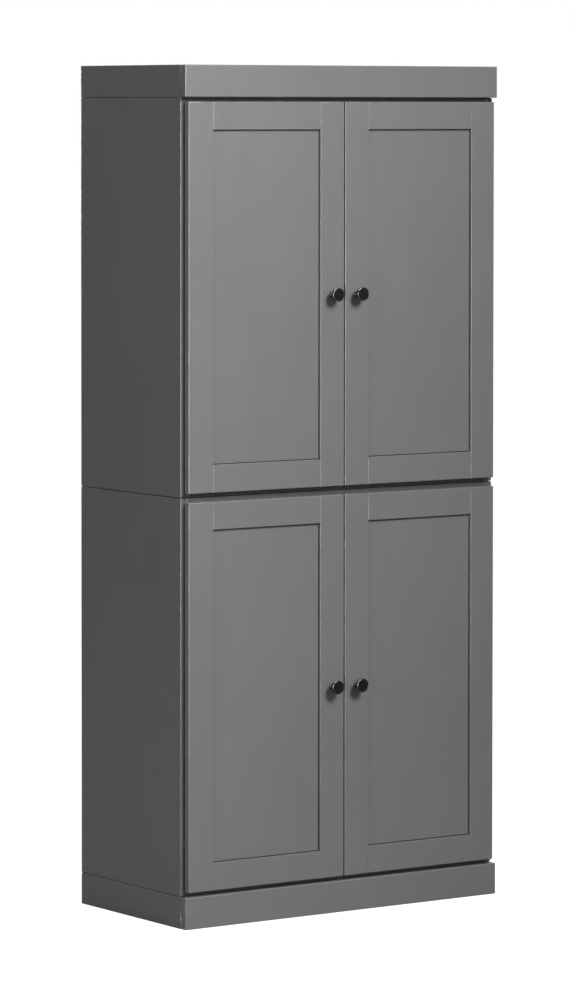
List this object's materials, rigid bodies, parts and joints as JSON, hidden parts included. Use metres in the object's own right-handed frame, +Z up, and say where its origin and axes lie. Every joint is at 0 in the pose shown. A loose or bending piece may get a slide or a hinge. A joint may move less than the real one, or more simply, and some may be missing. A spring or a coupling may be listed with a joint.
{
  "type": "pantry cabinet",
  "caption": "Tall free-standing storage cabinet with two stacked carcasses, frame-and-panel double doors, shelves, plinth and crown",
  "frame": {"origin": "on the floor, under the middle of the whole outline, knobs included", "axes": "+Z up, the doors face -Y, +X to the right of someone who faces the doors"},
  "size_m": [0.9144, 0.4842, 2.032],
  "materials": {
    "door_board": "satin grey laminate over board",
    "grey_board": "satin grey laminate over board",
    "back_board": "thin grey-faced fibreboard",
    "raw_wood": "unfinished birch and pine",
    "knob_metal": "dark bronze, almost black, satin",
    "steel": "zinc or nickel plated steel",
    "bumper_plastic": "soft clear-grey plastic"
  },
  "bodies": {
    "cabinet": {"plinth_front": "grey_board", "plinth_side_left": "grey_board", "plinth_side_right": "grey_board", "plinth_back": "grey_board", "lower_side_left": "grey_board", "lower_side_right": "grey_board", "lower_bottom": "grey_board", "lower_top": "grey_board", "lower_back": "back_board", "lower_shelf_low": "grey_board", "lower_shelf_high": "grey_board", "upper_side_left": "grey_board", "upper_side_right": "grey_board", "upper_bottom": "grey_board", "upper_top": "grey_board", "upper_back": "back_board", "upper_shelf_low": "grey_board", "upper_shelf_high": "grey_board", "crown_front": "grey_board", "crown_side_left": "grey_board", "crown_side_right": "grey_board", "crown_back": "grey_board", "shelf_pins": "steel", "cam_fittings": "steel", "wood_dowels": "raw_wood", "corner_blocks": "raw_wood", "frame_screws": "steel", "wood_screws": "steel", "hinge_plates": "steel", "hinge_arms": "steel", "anti_tip_brackets": "steel", "door_bumpers": "bumper_plastic"},
    "lower_left_door": {"lower_left_hinge_stile": "door_board", "lower_left_lock_stile": "door_board", "lower_left_top_rail": "door_board", "lower_left_bottom_rail": "door_board", "lower_left_panel": "door_board", "lower_left_knob": "knob_metal", "lower_left_hinge_cups": "steel"},
    "lower_right_door": {"lower_right_hinge_stile": "door_board", "lower_right_lock_stile": "door_board", "lower_right_top_rail": "door_board", "lower_right_bottom_rail": "door_board", "lower_right_panel": "door_board", "lower_right_knob": "knob_metal", "lower_right_hinge_cups": "steel"},
    "upper_left_door": {"upper_left_hinge_stile": "door_board", "upper_left_lock_stile": "door_board", "upper_left_top_rail": "door_board", "upper_left_bottom_rail": "door_board", "upper_left_panel": "door_board", "upper_left_knob": "knob_metal", "upper_left_hinge_cups": "steel"},
    "upper_right_door": {"upper_right_hinge_stile": "door_board", "upper_right_lock_stile": "door_board", "upper_right_top_rail": "door_board", "upper_right_bottom_rail": "door_board", "upper_right_panel": "door_board", "upper_right_knob": "knob_metal", "upper_right_hinge_cups": "steel"}
  },
  "joints": [
    {"name": "lower_left_door_hinge", "type": "hinge", "parent": "cabinet", "child": "lower_left_door", "pos_m": [-0.441, -0.20585, 0.546], "axis": [0, 0, -1], "range_deg": [0, 105]},
    {"name": "lower_right_door_hinge", "type": "hinge", "parent": "cabinet", "child": "lower_right_door", "pos_m": [0.441, -0.20585, 0.546], "axis": [0, 0, 1], "range_deg": [0, 105]},
    {"name": "upper_left_door_hinge", "type": "hinge", "parent": "cabinet", "child": "upper_left_door", "pos_m": [-0.441, -0.20585, 1.486], "axis": [0, 0, -1], "range_deg": [0, 105]},
    {"name": "upper_right_door_hinge", "type": "hinge", "parent": "cabinet", "child": "upper_right_door", "pos_m": [0.441, -0.20585, 1.486], "axis": [0, 0, 1], "range_deg": [0, 105]}
  ]
}
